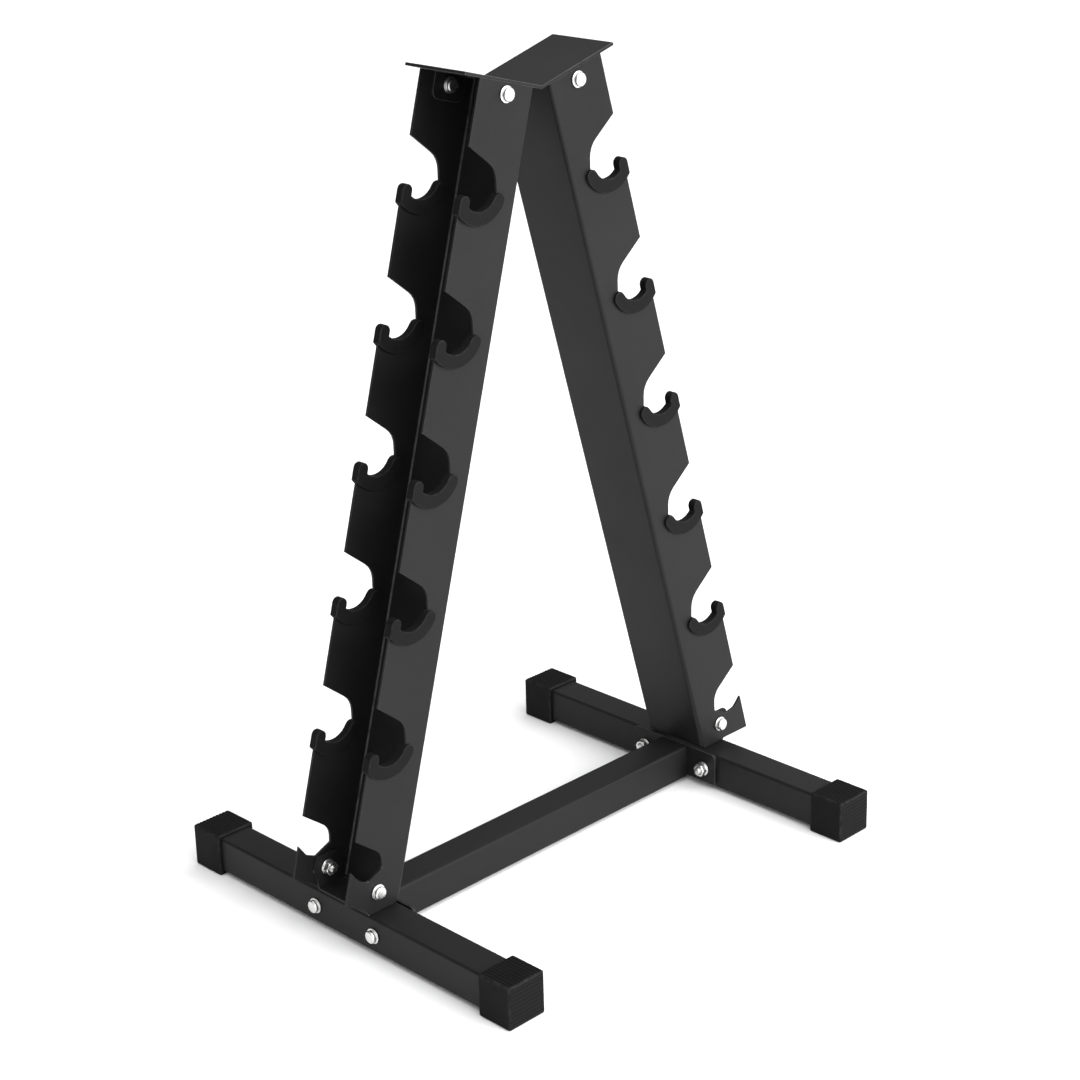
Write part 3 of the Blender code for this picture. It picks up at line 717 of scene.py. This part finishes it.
print("a nut measures", round(six_flats(1)(0) * 2000, 1), "mm over its corners")

# %% [markdown]
# A bolt and its nut lie on one line. So the axis of each runs from the middle
# of its own box to the middle of its partner's box, and its length is the
# side of its box along that axis. A bolt is built from its head down and a
# nut from its washer up, so a nut is turned over when it is placed.


# %% Build one bolt and one nut on Z
def axis_frame(name, partner):
    """Matrix that stands a Z-up piece where a packed bolt or nut is."""
    low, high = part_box(name)
    other_low, other_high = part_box(partner)
    middle = (low + high) / 2
    towards = (other_low + other_high) / 2 - middle
    axis = max(range(3), key=lambda i: abs(towards[i]))
    direction = Vector((0, 0, 0))
    direction[axis] = math.copysign(1, towards[axis])
    start = middle.copy()
    start[axis] = low[axis] if direction[axis] > 0 else high[axis]
    turn = direction.to_track_quat("Z", "Y").to_matrix().to_4x4()
    return Matrix.Translation(start) @ turn, (high - low)[axis]


def thread_start(length):
    """Height on a bolt at which the taper towards its thread begins."""
    return max(HEAD_HEIGHT + WASHER_THICK + PLAIN_SHANK, length - THREAD_REACH)


def bolt_profile(length):
    """Rows of a bolt whose head face is at 0 and whose tip is at length."""
    seat = HEAD_HEIGHT + WASHER_THICK
    core = SHANK_RADIUS - THREAD_DEPTH
    taper = thread_start(length)
    rows = [(HEAD_FLAT, HEAD_DISH)]
    rows += [(HEAD_RADIUS - inset, depth) for inset, depth in HEAD_CROWN]
    rows += [(HEAD_RADIUS, HEAD_HEIGHT - CORNER), (HEAD_RADIUS - SOFT_CORNER, HEAD_HEIGHT)]
    rows += [(WASHER_RADIUS - inset, HEAD_HEIGHT + depth) for inset, depth in WASHER_ROUND]
    rows += [(WASHER_RADIUS, seat - SOFT_CORNER), (WASHER_RADIUS - SOFT_CORNER, seat)]
    rows += [(SHANK_RADIUS, seat), (SHANK_RADIUS, taper), (core, taper + THREAD_RUNOUT),
             (core, length - THREAD_RUNOUT), (core - TIP_TAPER, length)]
    return rows


def nut_profile(bore):
    """Rows of a washer and of a nut with chamfered corners above it."""
    top = WASHER_THICK + NUT_HEIGHT
    flat = NUT_FLATS / 2
    full = flat / math.cos(math.pi / 6)
    rows = [(bore, 0.0), (WASHER_RADIUS - SOFT_CORNER, 0.0), (WASHER_RADIUS, CORNER),
            (WASHER_RADIUS, WASHER_THICK - CORNER), (WASHER_RADIUS - CORNER, WASHER_THICK)]
    rows += [(six_flats(flat), WASHER_THICK),
             (six_flats(full), WASHER_THICK + NUT_SEAT_BEVEL),
             (six_flats(full), top - NUT_TOP_BEVEL),
             (six_flats(flat + SOFT_CORNER), top - NUT_TOP_STEP)]
    rows += [(six_flats(flat - CORNER), top), (bore + BORE_BEVEL, top), (bore, top - BORE_BEVEL)]
    return rows


def turned_piece(name, profile, closed):
    """A zinc-plated piece from its profile, standing on Z."""
    metal = bmesh.new()
    turned(metal, profile, closed)
    rim = metal.loops.layers.float.new(RIM)
    mark([face for face in metal.faces if face.calc_area() < NARROW_FACE], rim)
    return finished(name, metal, ZINC)


print("a nut has", len(nut_profile(SHANK_RADIUS)), "rows in its profile")

# %% Plate and place the fasteners
BOLTS = [name for name in sorted(nodes) if name.endswith("_bolt")]
for name in BOLTS:
    nut_name = name.removesuffix("bolt") + "nut"
    stand, length = axis_frame(name, nut_name)
    piece = turned_piece(name + "_plated", bolt_profile(length), False)
    thread_from = thread_start(length)
    thread_length = length - thread_from - 2 * THREAD_RUNOUT
    grow(piece, THREAD_TREE, {
        "Turns": thread_length / THREAD_PITCH, "Thread Length": thread_length,
        "Thread Start": (0, 0, thread_from + THREAD_RUNOUT),
        "Pitch Radius": SHANK_RADIUS - THREAD_DEPTH, "Ridge": THREAD_DEPTH, "Finish": ZINC})
    piece.data.transform(stand)
    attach(piece, "root")
    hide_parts(name)

    stand, height = axis_frame(nut_name, name)
    stand = stand @ Matrix.Translation((0, 0, height)) @ Matrix.Rotation(math.pi, 4, "X")
    nut = turned_piece(nut_name + "_plated", nut_profile(SHANK_RADIUS + NUT_CLEARANCE), True)
    nut.data.transform(stand)
    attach(nut, "root")
    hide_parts(nut_name)
print(len(BOLTS), "bolts with", len(piece.data.polygons), "faces each")

# %% [markdown]
# ## Floor and studio light
# The rack stands on a plain white sweep that fills the whole view. A white
# dome lights it, bright in front and overhead and dark on the left, which
# keeps the insides of the channels dark. Two softboxes add a little shape.
# The tones are shown as they are, so that the sweep comes out pure white.

# %% Floor
FLOOR_REACH = 14.0
FLOOR_TONES = ((0.90, 0.90, 0.90, 1), (0.93, 0.93, 0.93, 1))
FLOOR_PATCHES = 1.5
FLOOR_ROUGH = 0.9
FLOOR_SPECULAR = 0.1


def floor_finish():
    """Plain matt white with the faintest drift of tone."""
    made = bpy.data.materials.new("pale_floor")
    made.use_nodes = True
    tree = made.node_tree
    shader = tree.nodes["Principled BSDF"]
    grain_node = add_node(tree, "ShaderNodeGroup", node_tree=GRAIN)
    grain_node.inputs["Patch Scale"].default_value = FLOOR_PATCHES
    color = blend_color(tree, grain_node.outputs["Patches"], *FLOOR_TONES)
    tree.links.new(color, shader.inputs["Base Color"])
    shader.inputs["Roughness"].default_value = FLOOR_ROUGH
    shader.inputs["Specular IOR Level"].default_value = FLOOR_SPECULAR
    return made


sheet = bmesh.new()
corners = [(-FLOOR_REACH, -FLOOR_REACH), (FLOOR_REACH, -FLOOR_REACH),
           (FLOOR_REACH, FLOOR_REACH), (-FLOOR_REACH, FLOOR_REACH)]
sheet.faces.new([sheet.verts.new((x, y, 0)) for x, y in corners])
floor = finished("floor", sheet, floor_finish())
print("floor", 2 * FLOOR_REACH, "m wide")


# %% Softboxes
def add_softbox(name, spot, target, size, power):
    """Add a square area light that faces a target point."""
    made = bpy.data.lights.new(name, "AREA")
    made.size = size
    made.energy = power
    item = bpy.data.objects.new(name, made)
    item.location = spot
    item.rotation_mode = "QUATERNION"
    item.rotation_quaternion = (Vector(target) - Vector(spot)).to_track_quat("-Z", "Y")
    bpy.context.scene.collection.objects.link(item)


CENTRE = (0, 0, 0.4)
add_softbox("front_softbox", spot=(0.6, -3.6, 1.8), target=CENTRE, size=2.6, power=150)
add_softbox("top_softbox", spot=(0, 0.4, 4.2), target=CENTRE, size=4.0, power=30)
print("2 softboxes")

# %% White dome, brightest towards one direction
DOME_BRIGHT = Vector((0.25, -0.75, 0.61)).normalized()
DOME_DARK_LEVEL = 0.02
DOME_BRIGHT_LEVEL = 2.1
# The cosines towards the bright direction at which the dome is dark and bright
DOME_DARK_UNTIL = -0.3
DOME_BRIGHT_FROM = 0.85
dome = bpy.data.worlds.new("studio")
dome.use_nodes = True
tree = dome.node_tree
direction = add_node(tree, "ShaderNodeTexCoord").outputs["Generated"]
facing = add_node(tree, "ShaderNodeVectorMath", {0: direction, 1: DOME_BRIGHT},
                  operation="DOT_PRODUCT").outputs["Value"]
level = ramp(tree, facing, DOME_DARK_UNTIL, DOME_BRIGHT_FROM,
             DOME_DARK_LEVEL, DOME_BRIGHT_LEVEL)
tree.links.new(level, tree.nodes["Background"].inputs["Strength"])
tree.nodes["Background"].inputs["Color"].default_value = (1, 1, 1, 1)
bpy.context.scene.world = dome
bpy.context.scene.view_settings.view_transform = "Standard"
print("dome from", DOME_DARK_LEVEL, "to", DOME_BRIGHT_LEVEL)
